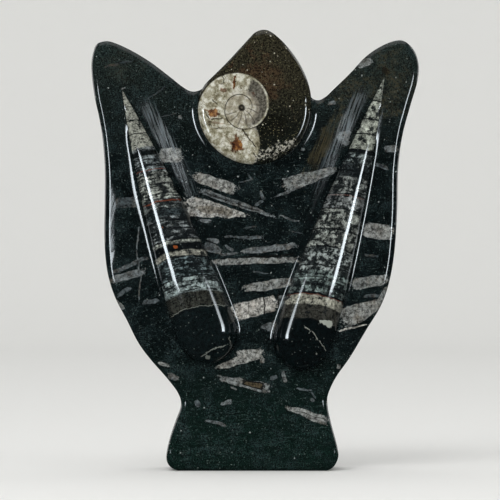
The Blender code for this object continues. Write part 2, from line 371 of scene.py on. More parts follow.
# The ground beside the cones: (distance from the cone, slope up towards it) at stations down the cone, for
# the outer side of each cone and for the inner side of both.
groundBeside = {
    "left": [
        (0, [(0, 0.22), (1.8, 0.22), (4.2, 0.18), (6, 0), (7.5, -0.14), (12, -0.14), (14.5, 0)]),
        (18, [(0, 0.22), (1.2, 0.22), (2.2, 0.15), (5, 0), (7.5, -0.14), (12, -0.14), (14.5, 0)]),
        (32, [(0, 0.9), (1.4, 0.4), (2.2, 0.25), (5, 0), (7.5, -0.14), (12, -0.14), (14.5, 0)]),
        (58, [(0, 0.95), (1.3, 0.45), (3.3, 0.29), (5.2, 0), (7, -0.14), (12, -0.14), (14, 0)]),
        (85, [(0, 0.95), (0.9, 0.45), (2.2, 0.27), (4, 0), (5.5, -0.14), (9, -0.14), (11, 0)]),
        (115, [(0, 0.95), (0.8, 0.45), (1.5, 0.27), (3.2, 0), (4.2, -0.14), (7, -0.14), (8.5, 0)]),
        (145, [(0, 0.6), (0.9, 0.3), (1.6, 0.2), (3, 0), (4, -0.12), (6, -0.12), (7.5, 0)]),
    ],
    "right": [
        (0, [(0, 0.22), (1.2, 0.22), (2.4, 0.2), (4.2, 0), (6, -0.14), (10, -0.14), (12, 0)]),
        (30, [(0, 0.26), (1, 0.26), (2.2, 0.22), (4, 0), (6, -0.14), (10, -0.14), (12, 0)]),
        (46, [(0, 0.95), (0.9, 0.45), (1.6, 0.26), (3.6, 0), (5.5, -0.14), (10, -0.14), (12, 0)]),
        (115, [(0, 0.95), (0.9, 0.45), (1.5, 0.27), (3.2, 0), (4.2, -0.14), (7, -0.14), (8.5, 0)]),
        (135, [(0, 0.6), (0.9, 0.3), (1.6, 0.2), (3, 0), (4, -0.12), (6, -0.12), (7.5, 0)]),
    ],
    "inner": [
        (0, [(0, -0.12), (2, -0.12), (5, -0.12), (7.5, -0.12), (9, -0.12), (10, -0.1), (12, 0)]),
        (14, [(0, -0.18), (2, -0.18), (5, -0.2), (7.5, -0.23), (9, -0.23), (10, -0.2), (12, 0)]),
        (30, [(0, -0.22), (2, -0.24), (5, -0.28), (9, -0.3), (11, -0.3), (12, -0.2), (13.5, 0)]),
        (46, [(0, -0.24), (2, -0.26), (5, -0.27), (9, -0.27), (10.5, -0.26), (11.5, -0.2), (13, 0)]),
        (65, [(0, -0.3), (2, -0.3), (4, -0.3), (6, -0.3), (8, -0.3), (9, -0.2), (10.5, 0)]),
        (98, [(0, 0.55), (0.8, 0.3), (1.4, 0), (2.4, -0.3), (3.6, -0.3), (4.5, -0.2), (6, 0)]),
        (112, [(0, 1), (1, 0.66), (1.9, 0.45), (3, 0), (4.2, -0.2), (6.4, -0.2), (8, 0)]),
        (150, [(0, 0.9), (1, 0.6), (1.7, 0.4), (2.8, 0), (3.8, -0.18), (5.6, -0.18), (7, 0)]),
    ],
    "turnover": 4,    # outer and inner ground meet over this far each side of the cone's axis
    "reach": 15,
    "rightScoop": 0.95,    # the scoop beside the right cone is this deep next to the left one
    "sameScoop": (60, 100),     # and becomes as deep between these distances
    # where the scoops are left less polished, and how much less
    "scoop": {"starts": (1.5, 5), "ends": (9, 13.5), "from": (9, 19), "stops": (50, 90),
              "dulls": {"left": 1, "right": 0.85}, "dims": (38, 50), "dimTo": 0.5},
}


def slabOutline():
    parts = ("leftSide", "leftWing", "peak", "rightWing", "rightSide")
    knots = frontPoints([pair for part in parts for pair in slabForm[part]])
    alongBottom = Vector((slabForm["footCorner"], 0, 0))
    return smoothRun([knots[0] + alongBottom, *knots, knots[-1] - alongBottom], slabForm["spanSteps"])


def profileAt(along, stations):
    for (low, profile), (high, nextProfile) in zip(stations, stations[1:]):
        if along < high:
            return blendProfiles(profile, nextProfile, easeShare(along, low, high))
    return stations[-1][1]


def groundBy(spot, side, size, edge):
    # how far the slab's face stands proud of flat beside one cone, and how much less polished it is there
    far, along = edge.nearest(spot.x, spot.z)
    if far > groundBeside["reach"]:
        return 0, 0
    _down, across = coneAxes(size)
    aside = across.x * (spot.x - size["tip"][0]) + across.z * (spot.z - size["tip"][1])
    outwards = -aside if side == "left" else aside
    turnover = groundBeside["turnover"]
    outerShare = easeShare(outwards, -turnover, turnover)
    outer = climb(far, profileAt(along, groundBeside[side]))
    inner = climb(far, profileAt(along, groundBeside["inner"]))
    if side == "right":
        inner *= 1 - (1 - groundBeside["rightScoop"]) * (1 - easeShare(along, *groundBeside["sameScoop"]))
    scoop = groundBeside["scoop"]
    dull = (1 - outerShare) * easeShare(far, *scoop["starts"]) * (1 - easeShare(far, *scoop["ends"]))
    dull *= easeShare(along, *scoop["from"]) * (1 - easeShare(along, *scoop["stops"])) * scoop["dulls"][side]
    dull *= 1 - (1 - scoop["dimTo"]) * easeShare(along, *scoop["dims"])
    return inner + (outer - inner) * outerShare, dull


def cutPockets(obj):
    # sockets for the two cones and the teardrop, cut through the face
    feet = [footprint(size, coneForm["gap"], coneForm["socketRings"])[0] for size in cones.values()]
    sockets = [(foot, coneForm) for foot in feet] + [(dropOutline(dropForm["gap"]), dropForm)]
    cutters = []
    for outline, form in sockets:
        cutters.append(meshObject("socket", prism(outline, cutterFrom, faceY + form["setIn"] + form["gap"])))
    for cutter in cutters:
        boolean = obj.modifiers.new(cutter.name, "BOOLEAN")
        boolean.operation = "DIFFERENCE"
        boolean.solver = "EXACT"
        boolean.object = cutter
    graph = bpy.context.evaluated_depsgraph_get()
    cutMesh = bpy.data.meshes.new_from_object(obj.evaluated_get(graph))
    bm = bmesh.new()
    bm.from_mesh(cutMesh)
    for gone in cutters + [obj]:
        bpy.data.objects.remove(gone, do_unlink=True)
    return bm


def buildSlab():
    outline = slabOutline()
    half = slabForm["thick"] / 2
    bm = prism(outline, -half, half)
    for level in (-half, half):
        roundRim(bm, level, slabForm["rim"], slabForm["rimSegments"])
    bmesh.ops.translate(bm, verts=bm.verts, vec=(0, slabForm["middleY"], 0))
    bm = cutPockets(meshObject("roughSlab", bm))
    print("slab cut", len(bm.faces))

    # a fine mesh on the face, finer still beside the cones and the teardrop
    rings = coneForm["edgeRings"]
    edges = {side: Outline(*footprint(size, coneForm["gap"], rings)) for side, size in cones.items()}
    dropEdge = Outline(dropOutline(dropForm["gap"]))
    rimEdge = Outline(outline)
    front = [f for f in bm.faces if abs(f.calc_center_median().y - faceY) < 1e-3 and abs(f.normal.y) > 0.9]
    step = slabForm["grid"] * 1
    front = cutToGrid(bm, front, step)
    for reach in slabForm["nearCones"]:
        near = []
        for face in front:
            x, _y, z = face.calc_center_median()
            if min(e.nearest(x, z)[0] for e in (*edges.values(), dropEdge)) < reach:
                near.append(face)
        step /= 2
        front = cutToGrid(bm, near, step)
    print("face mesh", len(front), len(bm.faces))
    for i in range(1, int(slabForm["flare"][1] / slabForm["flareStep"]) + 1):
        level = i * slabForm["flareStep"]
        around = [f for f in bm.faces if min(v.co.z for v in f.verts) < level < max(v.co.z for v in f.verts)]
        bmesh.ops.bisect_plane(
            bm, geom=withCorners(around), dist=1e-4, plane_co=(0, 0, level), plane_no=(0, 0, 1),
        )

    groove = bm.verts.layers.float.new("grooveShare")
    facet = slabForm["leftFacet"]
    for vert in bm.verts:
        x, y, z = vert.co
        rimFar = rimEdge.nearest(x, z)[0] if z > 0.01 else 0
        facetShare = easeShare(z, *facet["from"]) * (1 - easeShare(z, *facet["to"])) if x < 0 else 0
        ground = facet["slope"] * max(facet["wide"] - rimFar, 0)
        fall = slabForm["edgeDrop"] * (1 - min(rimFar / slabForm["edgeBand"], 1)) ** 2
        fall += (ground - fall) * facetShare
        fall *= easeShare(z, *slabForm["plainFoot"])
        extra = (slabForm["footDepth"] - slabForm["thick"]) / 2 * (1 - easeShare(z, *slabForm["flare"]))
        if y < slabForm["frontFrom"]:
            beside = [groundBy(vert.co, side, size, edges[side]) for side, size in cones.items()]
            vert[groove] = sum(dull for _rise, dull in beside)
            rise = climb(dropEdge.nearest(x, z)[0], dropForm["moat"]) + sum(rise for rise, _dull in beside)
            vert.co.y += fall - rise - extra
        elif y > slabForm["backFrom"]:
            vert.co.y += extra - fall
        elif rimFar < slabForm["wallWithin"]:
            vert.co.y += math.copysign(extra, y - slabForm["middleY"])
    return meshObject("fossilSlab", bm)


def polishedStone(name):
    # starts a material: returns it, the function that adds its nodes, and a vector in millimetres
    made = bpy.data.materials.new(name)
    made.use_nodes = True
    made.node_tree.nodes["Principled BSDF"].inputs["IOR"].default_value = 1.55
    add = partial(addNode, made.node_tree)
    place = add("TexCoord").outputs["Object"]
    return made, add, add("VectorMath", (place, (1000, 1000, 1000)), "MULTIPLY")


def polish(made, add, colour, rough, place, turn):
    # ends a material, with the faint long waves that the polishing wheel leaves: 1 mm apart, 0.02 mm deep
    drawn = add("Mapping", {"Vector": place, "Rotation": (0, turn, 0), "Scale": (1.3, 20, 18)},
                vector_type="TEXTURE")
    waves = add("TexNoise", {"Vector": drawn, "Scale": 1, "Detail": 2})
    bump = add("Bump", {"Strength": 1, "Distance": 0.00002, "Height": waves})
    shader = made.node_tree.nodes["Principled BSDF"]
    for name, node in (("Base Color", colour), ("Roughness", rough), ("Normal", bump)):
        made.node_tree.links.new(node.outputs[0], shader.inputs[name])
    return made


def layOver(add, colour, *layers):
    # lays tones over a colour one by one, each as far as its share goes
    for share, tone in layers:
        colour = add("MixRGB", (share, colour, tone))
    return colour


def together(add, share, *others):
    # one share that holds only as far as all of these do
    for other in others:
        share = add("Math", (share, other), "MULTIPLY")
    return share


def markGroup():
    # one fossil's cut outline: a rod or wedge with ragged ends, laid over the ones before it
    group = bpy.data.node_groups.new("fossilMark", "ShaderNodeTree")
    sockets = {
        "Vector": ("Spot", "Down", "Over"),
        "Float": ("Before", "Ragged", "DownAt", "OverAt", "Taper", "Tone", "Edge"),
    }
    for kind, names in sockets.items():
        for name in names:
            group.interface.new_socket(name=name, in_out="INPUT", socket_type="NodeSocket" + kind)
    group.interface.new_socket(name="After", in_out="OUTPUT", socket_type="NodeSocketFloat")
    given = group.nodes.new("NodeGroupInput").outputs
    add = partial(addNode, group)
    offsets = []
    for axis in ("Down", "Over"):
        along = add("VectorMath", (given["Spot"], given[axis]), "DOT_PRODUCT").outputs["Value"]
        offsets.append(add("Math", (along, given[axis + "At"]), "SUBTRACT"))
    down, over = offsets
    wide = add("Math", (down, given["Taper"], 1), "MULTIPLY_ADD")
    wide = add("Math", (wide, 0.05), "MAXIMUM")
    over = add("Math", (over, wide), "DIVIDE")
    # a fourth power rounds the corners, and the ends are more ragged than the sides
    over = add("Math", (over, 4), "POWER")
    down = add("Math", (down, 4), "POWER")
    both = add("Math", (down, over), "ADD")
    torn = add("Math", (down, 1.5, 0.3), "MULTIPLY_ADD")
    both = add("Math", (torn, given["Ragged"], both), "MULTIPLY_ADD")
    outer = add("Math", (given["Edge"], 1), "ADD")
    inner = add("Math", (1, given["Edge"]), "SUBTRACT")
    inside = add("MapRange", (both, outer, inner, 0, 1), interpolation_type="SMOOTHSTEP")
    toned = add("Math", (inside, given["Tone"]), "MULTIPLY")
    after = add("Math", (toned, given["Before"]), "MAXIMUM")
    result = group.nodes.new("NodeGroupOutput")
    group.links.new(after.outputs[0], result.inputs[0])


def layMarks(add, spot, ragged, marks, edge=0.2):
    # marks are (x, z) to (x, z), width, taper towards the end, tone; the edge is 0 for sharp and 1 for soft
    before = 0
    for i, (startX, startZ, endX, endZ, width, taper, tone) in enumerate(marks):
        down = Vector((endX - startX, 0, endZ - startZ)) / 2
        middle = Vector((startX, 0, startZ)) + down
        over = Vector((-down.z, 0, down.x)).normalized() / (width / 2)
        down /= down.length_squared
        if i % 24 == 23:    # waits for the marks before it, which keeps the renderer's stack small
            spot = add("VectorMath", (before, (0, 0, 0), spot), "MULTIPLY_ADD")
        before = add("Group", {
            "Before": before, "Spot": spot, "Ragged": ragged, "Down": down, "DownAt": middle.dot(down),
            "Over": over, "OverAt": middle.dot(over), "Taper": taper, "Tone": tone, "Edge": edge,
        }, node_tree=bpy.data.node_groups["fossilMark"])
    return before


def wobble(add, vector, size, reach, detail=2):
    # shifts a vector irregularly: how big the bends are and how far they reach, in mm
    noise = add("TexNoise", {"Vector": vector, "Scale": 1 / size, "Detail": detail}).outputs["Color"]
    centred = add("VectorMath", (noise, (0.5, 0.5, 0.5)), "SUBTRACT")
    scaled = add("VectorMath", {0: centred, "Scale": reach * 4}, "SCALE")
    return add("VectorMath", (vector, scaled), "ADD")


def crumbs(add, vector, spacing, size):
    # scattered shell crumbs of mixed sizes: 1 on a crumb and 0 between them, in mm
    cells = add("TexVoronoi", {"Vector": vector, "Scale": 1 / spacing})
    chance = add("SeparateColor", (cells.outputs["Color"],)).outputs[0]
    reach = add("Math", (chance, 3), "POWER")
    reach = add("Math", (reach, size / spacing), "MULTIPLY")
    depth = add("Math", (reach, cells.outputs["Distance"]), "SUBTRACT")
    return add("MapRange", (depth, 0, 0.06))


def hairlines(add, vector, size, width):
    # fine crooked cracks: 1 on a crack, where a noise crosses its middle
    noise = add("TexNoise", {"Vector": vector, "Scale": 1 / size, "Detail": 4, "Roughness": 0.6})
    off = add("Math", (noise, 0.5), "SUBTRACT")
    off = add("Math", (off,), "ABSOLUTE")
    return add("MapRange", (off, width, 0))


slabMarks = {
    "pale": [
        (-55, 178.5, -41.5, 179, 8.5, 0, 0.8), (-35.5, 167.5, -10.5, 159, 6.3, 0.05, 0.85),
        (-33, 159.5, 10.5, 144, 3.2, -0.3, 0.6), (-40.5, 150.5, -3.5, 144.5, 8, -0.75, 0.92),
        (-31, 141.5, -24.5, 141.5, 2.3, 0, 0.6), (16, 161.5, 47.5, 171, 6.6, -0.45, 0.72),
        (25.5, 161, 11, 155, 1.6, -0.4, 0.6), (3.6, 158.4, 4.6, 153, 1.6, 0, 0.5),
        (4.5, 152.8, -0.5, 150, 1.9, 0, 0.5), (-4.5, 168.5, -1.5, 165, 0.9, 0, 0.5),
        (-8.5, 163, -1.5, 165.5, 0.9, 0, 0.45), (13.5, 144.5, 25, 141, 1, 0, 0.6),
        (-12.5, 132.5, 4, 132, 2, 0.3, 0.5), (-29, 127.5, -19, 124, 4.6, -0.2, 0.55),
        (-27, 131, -21, 129, 2.4, 0.3, 0.6), (-17, 128, -12, 124.5, 1.6, 0, 0.55),
        (-17.5, 131.5, -13, 133, 1.4, 0, 0.5), (-20, 122.5, -10, 123, 1.5, 0, 0.6),
        (-8, 124, 24.5, 127.5, 3.4, 0.1, 0.62), (-24.5, 118, 25, 119.5, 3.6, 0.05, 0.78),
        (-6.5, 103, 21, 107, 5.1, 0.2, 0.78), (-13, 89, 13.5, 95.5, 9.9, -0.1, 1),
        (13, 95, 19, 96, 7.4, -0.1, 0.55), (3, 81.5, 12, 81, 5.1, 0.8, 0.6),
        (-22, 58, 4, 66.5, 4.8, 0.5, 0.86), (-11, 66, 5, 67.5, 3.6, 0, 0.86),
        (2.5, 62, 5.5, 62, 2.8, 0, 0.7), (16, 56, 17.5, 50, 2.2, 0, 0.66),
        (8.5, 52, 12.5, 53, 2.3, 0, 0.5), (-20.5, 52.5, 8.5, 46, 4.9, 0.3, 0.7),
        (-14, 47, -10.5, 46, 1.1, 0, 0.6), (23.5, 46.5, 32.5, 45.5, 1.1, 0, 0.5),
        (32, 44.5, 34.5, 40.5, 1.1, 0, 0.5), (-19.5, 38, -13, 39, 2.6, 0.3, 0.62),
        (31.5, 39.5, 33.5, 39.5, 1.7, 0, 0.55), (-33.5, 40.5, -31.5, 36.5, 2.3, 0, 0.5),
        (-28.5, 28, -17, 25.6, 1.8, 0.2, 0.55), (17.5, 36, 41.5, 27.5, 4.2, 0.5, 0.8),
        (-54.5, 60.2, -48.6, 59.5, 1.9, 0, 0.78), (-49.5, 54.5, -44, 51.5, 3.4, 0, 0.62),
        (46, 58.5, 48.5, 58.5, 2.8, 0, 0.65), (-79.5, 152, -67, 152, 6.3, 0, 0.42),
        (-81.5, 112, -61, 121, 2.5, 0, 0.52), (-82, 107.5, -62.5, 113, 4.6, 0, 0.6),
        (-78, 99, -70.5, 103.5, 2.3, 0, 0.45), (-64, 95, -55, 96.5, 2.8, 0, 0.5),
        (-79, 96.5, -74.5, 91, 2.3, 0, 0.7), (-66, 138.5, -67, 125, 0.9, 0, 0.55),
        (-67, 125, -65, 111, 0.9, 0, 0.55), (-65, 111, -66, 96.5, 0.9, 0, 0.5),
        (61, 137, 78.5, 134, 8.5, 0.1, 0.8), (62.5, 122.5, 70, 121.5, 1.7, 0, 0.36),
        (54.5, 105, 76.5, 109, 6.3, -0.1, 0.74), (61.5, 99, 74, 99, 1.7, 0, 0.45),
        (71, 94.5, 75.5, 104, 4, 0, 0.74), (49, 85.5, 73.5, 95.5, 9.7, -0.4, 0.8),
        (47.5, 79, 64.5, 83, 1, 0, 1), (58, 230, 66, 232.5, 4.6, 0, 0.72),
        (41.5, 208.5, 46, 208.5, 2.3, 0, 0.6), (46.5, 189.5, 54.5, 188, 8, 0.3, 0.62),
        (73.5, 182.5, 81, 182.5, 4, 0, 0.62), (68, 174, 75.5, 171.5, 2.3, 0, 0.5),
        (-44, 200, -41.6, 200.2, 1.8, 0, 0.55), (26, 182, 28.5, 182, 1.7, 0, 0.6),
        (-61.8, 209.6, -50.1, 218.6, 1, 0, 0.36), (-85.4, 228.7, -70, 232.4, 1.3, 0, 0.3),
        (-53, 200.8, -44, 202.4, 0.7, 0, 0.36), (-76, 216.6, -73.4, 217.2, 0.9, 0, 0.7),
        (-1.5, 112.5, 8, 112, 0.8, 0, 0.45), (-6, 137.5, 1, 138.5, 0.9, 0, 0.4),
        (20, 136, 27, 134.5, 0.8, 0, 0.4), (-45, 168, -40.5, 163, 1.2, 0, 0.4),
    ],
    "dark": [
        (-8, 120.8, 24, 122.6, 0.9, 0, 0.8), (4.8, 99.5, 5.6, 88, 0.8, 0, 0.9),
        (13.2, 99, 14.2, 90, 0.8, 0, 0.9), (-4.5, 98.5, -3, 86, 0.5, 0, 0.6),
        (-7.8, 50.4, 5.4, 47.3, 3.9, 0, 0.95), (24, 33.4, 41, 28.6, 0.5, 0, 0.7),
        (-29, 157.4, -14, 152.8, 1.1, 0, 0.8), (-12, 151.6, 2, 147, 0.8, 0, 0.8),
        (-24, 157, -20, 154.4, 1.2, 0, 0.7), (72.8, 228.2, 76, 224.6, 3.6, 0, 0.9),
    ],
    "warm": [
        (-34, 149, -12, 146, 4, 0, 0.6), (-5.9, 49.8, 3.7, 47.8, 2.3, 0, 1),
    ],
    "strokes": [(53, 211, 27, 163, 9, 0, 0.8), (44.5, 198, 33, 173, 4, 0, 0.9)],
    "tinted": [
        (69, 246, 84, 196, 28, 0, 0.34), (40, 208, 66, 234, 28, 0, 0.3),
        (-86, 236, -62, 222, 22, 0, 0.12),
    ],
}


limestoneLook = {
    # base tones by height in mm; the lighter foot and wing tops are partly the stone's tone, partly painted
    # sheen
    "toneAndSheenByHeight": [(0, "#0c1b17"), (40, "#0a1714"), (72, "#070e0f"), (175, "#060c0d"), (205, "#111716"),
                 (250, "#1b2321")],
    "haze": (9, "#1f2a2b", 0.6),      # size in mm, colour, strength
    "wisps": (9, 0.8, "#46504e", 0.48),   # length and width in mm, colour, strength
    "grain": 0.75, "crumbs": [(0.8, 0.38, "#313a38"), (1.5, 0.42, "#4b5451"), (3.2, 0.56, "#8b9290")],
    "bedding": (26, 1.7),     # length and thickness in mm of the faint layers near the foot
    "shell": [(0, "#0f1516"), (0.35, "#2d3437"), (0.5, "#4c5356"), (0.62, "#63696b"), (0.74, "#767a79"),
              (0.85, "#868885"), (1, "#aaa9a4")],
    "rust": "#574938", "cracks": "#23211d", "warm": "#4c4435", "shade": "#12110e", "brownish": "#453f2d",
    # next, the colour of the painted sheen streaks in the scoops
    "paintedScoopSheen": "#6a7880", "backRough": 0.2, "grooveRough": 0.36,
    "slant": {0: 1.1, 2: -0.7},     # how far the marks slide along X and Z with depth
}


def limestoneMaterial():
    # Black fossil limestone, ground and polished by hand: near black with a green cast, hazy and full of
    # crumbs, with pale calcite shells cut through.
    look = limestoneLook
    made, add, place = polishedStone("polishedFossilLimestone")
    axes = add("SeparateXYZ", (place,))
    # further back the marks slide aside, because the shells lie slanted in the stone
    behind = add("Math", (axes.outputs[1], 9), "ADD")
    behind = add("Math", (behind, 0), "MAXIMUM")
    slidX, slidZ = (
        add("Math", (behind, slant, axes.outputs[i]), "MULTIPLY_ADD") for i, slant in look["slant"].items()
    )
    flat = add("CombineXYZ", {0: slidX, 2: slidZ})
    spot = wobble(add, wobble(add, flat, 8, 0.7), 1.6, 0.22, 3)
    fray = add("TexNoise", {"Vector": place, "Scale": 1 / 1.4, "Detail": 4, "Roughness": 0.65})
    ragged = add("MapRange", (fray, 0.3, 0.7, -0.45, 0.6))
    drift = add("TexNoise", {"Vector": flat, "Scale": 1 / 5, "Detail": 5, "Roughness": 0.7})
    cloudy = add("MapRange", (drift, 0.38, 0.62, -0.6, 3))
    pale, dark, warm = (layMarks(add, spot, ragged, slabMarks[kind]) for kind in ("pale", "dark", "warm"))
    drifting = wobble(add, flat, 6, 1)
    strokes = layMarks(add, drifting, cloudy, slabMarks["strokes"], 0.95)
    tinted = layMarks(add, drifting, cloudy, slabMarks["tinted"], 0.95)

    # the black stone, toned by height: darkest in the middle, greener and lighter at the foot and lighter
    # towards the wing tops; the lighter foot and wing tops are partly painted sheen
    height = add("MapRange", (axes.outputs[2], 0, 250))
    base = add("ValToRGB", (height,), stops=[(z / 250, tone) for z, tone in look["toneAndSheenByHeight"]])
    size, tone, strength = look["haze"]
    haze = add("TexNoise", {"Vector": place, "Scale": 1 / size, "Detail": 6, "Roughness": 0.68})
    base = layOver(add, base, (add("MapRange", (haze, 0.46, 0.66, 0, strength)), tone))
    length, width, tone, strength = look["wisps"]
    drawn = add("Mapping", {"Vector": spot, "Rotation": (0, -0.1, 0), "Scale": (length, length, width)},
                vector_type="TEXTURE")
    wisp = add("TexNoise", {"Vector": drawn, "Scale": 1, "Detail": 3, "Roughness": 0.6})
    base = layOver(add, base, (add("MapRange", (wisp, 0.6, 0.78, 0, strength)), tone))
    grain = add("TexNoise", {"Vector": place, "Scale": 1 / look["grain"], "Detail": 3, "Roughness": 0.8})
    grainTone = add("MapRange", (grain, 0.38, 0.62, 0.05, 2.3))
    base = add("MixRGB", (1, base, grainTone), blend_type="MULTIPLY")
    length, width = look["bedding"]
    bedded = add("Mapping", {"Vector": spot, "Scale": (length, length, width)}, vector_type="TEXTURE")
    layer = add("TexNoise", {"Vector": bedded, "Scale": 1, "Detail": 4, "Roughness": 0.6})
    layerTone = add("MapRange", (layer, 0.35, 0.65, 0.75, 1.28))
    layerShare = add("MapRange", (axes.outputs[2], 70, 25))
    base = add("MixRGB", (layerShare, base, layerTone), blend_type="MULTIPLY")
    for spacing, size, tone in look["crumbs"]:
        base = layOver(add, base, (crumbs(add, spot, spacing, size), tone))

    # the cut shells: chalky, patchy, cracked and here and there rusty
    shell = add("ValToRGB", (pale,), stops=look["shell"])
    patch = add("TexNoise", {"Vector": spot, "Scale": 1 / 2.6, "Detail": 6, "Roughness": 0.72})
    patchTone = add("MapRange", (patch, 0.39, 0.6, 0.22, 1.65))
    rusty = add("TexNoise", {"Vector": flat, "Scale": 1 / 7, "Detail": 4, "Roughness": 0.65})
    shell = layOver(add, shell, (add("MapRange", (rusty, 0.48, 0.68, 0, 0.55)), look["rust"]))
    shell = add("MixRGB", (1, shell, patchTone), blend_type="MULTIPLY")
    shell = layOver(add, shell, (hairlines(add, spot, 5, 0.02), look["cracks"]))
    covered = add("MapRange", (pale, 0.06, 0.3))
    warmShell = add("MixRGB", (1, look["warm"], patchTone), blend_type="MULTIPLY")
    colour = layOver(add, base, (covered, shell), (dark, look["shade"]), (warm, warmShell))

    # polishing strands run down along each cone, so they are mirrored left to right in the scoops
    mirroredX = add("Math", (axes.outputs[0],), "ABSOLUTE")
    mirrored = add("CombineXYZ", (mirroredX, axes.outputs[1], axes.outputs[2]))
    grooves = add("Attribute", attribute_name="grooveShare").outputs["Fac"]
    grooved = add("MapRange", (grooves, 0.02, 0.08))
    grooved = add("MixRGB", (grooved, place, mirrored))
    drawnDown = add("Mapping", {"Vector": grooved, "Rotation": (0, 0.33, 0), "Scale": (0.8, 9, 16)},
                    vector_type="TEXTURE")
    strands = add("TexNoise", {"Vector": drawnDown, "Scale": 1, "Detail": 4, "Roughness": 0.6})
    # painted sheen: pale bluish streaks along the polishing strands in the scoops
    paintedScoopSheen = together(add, add("MapRange", (strands, 0.52, 0.62, 0, 0.5)), grooves)
    brown = together(add, add("MapRange", (strands, 0.4, 0.62, 0.1, 0.9)), strokes)
    speckled = add("MapRange", (fray, 0.42, 0.6, 0.25, 2.2))
    tint = together(add, add("MapRange", (haze, 0.4, 0.6, 0.1)), speckled)
    brown = add("Math", (tint, tinted, brown), "MULTIPLY_ADD")
    colour = layOver(add, colour, (paintedScoopSheen, look["paintedScoopSheen"]), (brown, look["brownish"]))

    rough = add("MapRange", (grain, 0.3, 0.7, 0.06, 0.13))
    atBack = add("MapRange", (axes.outputs[1], 13, 16, 0, look["backRough"]))
    rough = add("Math", (rough, atBack), "ADD")
    scuffed = add("MapRange", (strands, 0.4, 0.52, 0.02, look["grooveRough"]))
    rough = add("Math", (grooves, scuffed, rough), "MULTIPLY_ADD")
    return polish(made, add, colour, rough, grooved, 0.3)


# Bands are (distance down the cone where they start, colour, how much dark matrix is mixed in).
shellLooks = {
    # the bands start this far above the tip and reach this far down; half the softness of their edges
    "both": {"bulge": 0.012, "above": 10, "reach": 180, "soft": 0.3},
    "left": {
        "tilt": 0.15, "layering": 0.7,
        "bands": [
            (-10, "#42443f", 0.3), (2, "#7c7e76", 0.12), (35.5, "#5a6062", 0.4), (37, "#0e1213", 0.2),
            (40.5, "#5f6668", 0.55), (50, "#717570", 0.55), (66, "#666c6b", 0.65), (72, "#262d2f", 0.5),
            (76.5, "#585d5e", 0.75), (90.5, "#7a7e78", 0.4), (92.5, "#0b0e0f", 0.1), (97.5, "#7f7f76", 0.35),
            (100.6, "#4b5658", 0.75), (112.5, "#6b7575", 0.5), (121.5, "#2a2b27", 0.15),
            (130.5, "#0a1213", 0),
        ],
        "lines": [(11, 0.35, 0.8), (19, 0.35, 0.8), (27, 0.35, 0.8), (42.6, 0.5, 0.7), (46, 0.6, 0.8),
                  (52, 0.5, 0.7), (54, 0.35, 0.6), (57, 0.7, 0.8), (59.7, 0.4, 0.6), (63, 0.5, 0.7),
                  (79, 0.8, 0.8), (84, 0.7, 0.8), (88, 0.6, 0.7), (90.5, 0.4, 0.8), (100.6, 0.4, 0.8),
                  (106, 0.8, 0.7), (112.5, 0.5, 0.9), (115.5, 0.4, 0.5)],
        "red": [(48.6, 0.7, 0.7), (67.5, 0.9, 0.9)],
        "spots": [(-1.6, -94.8, 0.6, -94.8, 1.9, 0, 0.7), (-4.5, -82.5, -3.5, -82.5, 1, 0, 0.3)],
        "veins": [(-20, -130.5, 20, -130.5, 0.45, 0, 0.35), (9.8, -154.5, -8.4, -158.4, 0.6, 0, 0.45),
                  (-5.5, -159.5, -3, -160.4, 2.4, 0, 0.4), (11.5, -149, 9.8, -155.5, 0.5, 0, 0.3)],
    },
    "right": {
        "tilt": -0.15, "layering": 0.2,
        "bands": [
            (-10, "#2a2c2a", 0.2), (1, "#686c65", 0.35), (14.6, "#7a7e76", 0.4), (34.2, "#767a72", 0.3),
            (44.1, "#0f1213", 0.1), (46, "#545b5b", 0.6), (52, "#1a1e1f", 0.4), (60, "#5f6361", 0.6),
            (70, "#696d6d", 0.5), (78.6, "#6b6f6b", 0.55), (101.3, "#686e6d", 0.6), (115, "#5d6866", 0.58),
            (129.3, "#7d7d73", 0.3), (135, "#2d2d29", 0.15), (143.5, "#050b0c", 0),
        ],
        "lines": [(7, 0.4, 0.7), (14.6, 0.5, 0.9), (25.3, 0.5, 0.9), (34.2, 0.5, 0.9), (44.1, 1, 1),
                  (49, 0.7, 0.7), (56, 0.9, 0.8), (62, 0.7, 0.6), (66, 0.6, 0.7), (70, 0.5, 0.8),
                  (78.6, 0.6, 0.9), (90.8, 0.6, 0.9), (101.3, 0.5, 0.9), (112.3, 0.5, 0.9), (119, 0.7, 0.7),
                  (124, 0.8, 0.8), (128.6, 0.8, 1)],
        "red": [(70.8, 0.6, 0.35), (129.3, 0.5, 0.7)],
        "spots": [],
        "veins": [(-1.7, -148.3, 2.4, -150.1, 0.5, 0, 0.7), (2.4, -150.1, 8.7, -154.6, 0.45, 0, 0.6),
                  (8.7, -154.6, 14.5, -158.1, 0.5, 0, 0.5), (2.4, -150.1, 1.5, -152.6, 0.4, 0, 0.4),
                  (5.6, -143.8, 13.5, -143.4, 3.2, 0.6, 0.95), (9.2, -162, 10, -162, 1, 0, 0.5)],
    },
}


